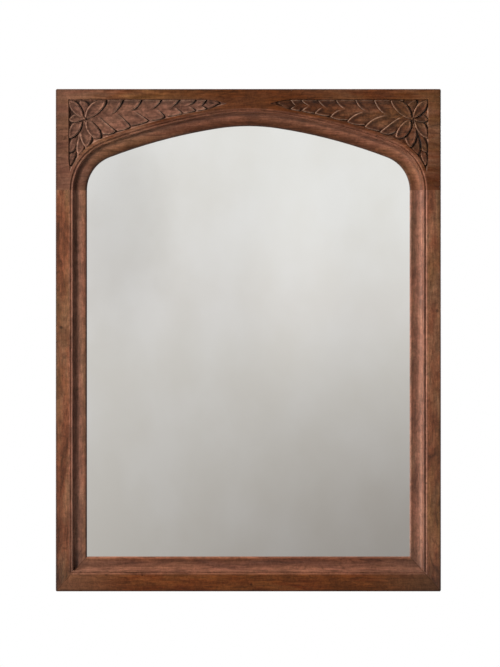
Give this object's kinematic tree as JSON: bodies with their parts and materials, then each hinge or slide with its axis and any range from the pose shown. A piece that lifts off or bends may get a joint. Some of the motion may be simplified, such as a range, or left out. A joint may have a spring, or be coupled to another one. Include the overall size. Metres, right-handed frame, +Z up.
{
  "type": "wall mirror",
  "caption": "Rectangular wooden wall mirror with an arched plate opening, a moulded surround, leaf-carved upper corners and strap hangers with swinging D-rings on the back.",
  "frame": {"origin": "on the wall plane, midway between the bearing points of the two wall hooks", "axes": "+Z up, +X right as seen from the front, +Y into the wall, so the mirror faces -Y"},
  "size_m": [0.762, 0.039, 0.994],
  "materials": {
    "carved_wood": "satin, stained and waxed",
    "dowel_wood": "plain beech",
    "mirror": "silvered glass",
    "rubber": "matt",
    "felt": "felt",
    "fibreboard": "unfinished hardboard",
    "screw_steel": "zinc plated",
    "hanger_steel": "nickel plated"
  },
  "bodies": {
    "frame": {"header": "carved_wood", "stile_left": "carved_wood", "stile_right": "carved_wood", "bottom_rail": "carved_wood", "header_dowels": "dowel_wood", "mitre_dowels": "dowel_wood", "mirror_plate": "mirror", "setting_block_left": "rubber", "setting_block_right": "rubber", "cushion_strip_left": "felt", "cushion_strip_right": "felt", "cushion_strip_bottom": "felt", "cushion_strip_top": "felt", "back_panel": "fibreboard", "back_panel_screws": "screw_steel", "hanger_strap_left": "hanger_steel", "hanger_strap_right": "hanger_steel", "hanger_screws_left": "screw_steel", "hanger_screws_right": "screw_steel", "wall_bumper_top_left": "rubber", "wall_bumper_top_right": "rubber", "wall_bumper_bottom_left": "rubber", "wall_bumper_bottom_right": "rubber", "bumper_screws": "screw_steel"},
    "ring_left": {"hanger_ring_left": "hanger_steel"},
    "ring_right": {"hanger_ring_right": "hanger_steel"}
  },
  "joints": [
    {"name": "ring_left_swing", "type": "hinge", "parent": "frame", "child": "ring_left", "pos_m": [-0.36, -0.00382, -0.01435], "axis": [-1, 0, 0], "range_deg": [0, 183.7]},
    {"name": "ring_right_swing", "type": "hinge", "parent": "frame", "child": "ring_right", "pos_m": [0.36, -0.00382, -0.01435], "axis": [-1, 0, 0], "range_deg": [0, 183.7]}
  ]
}
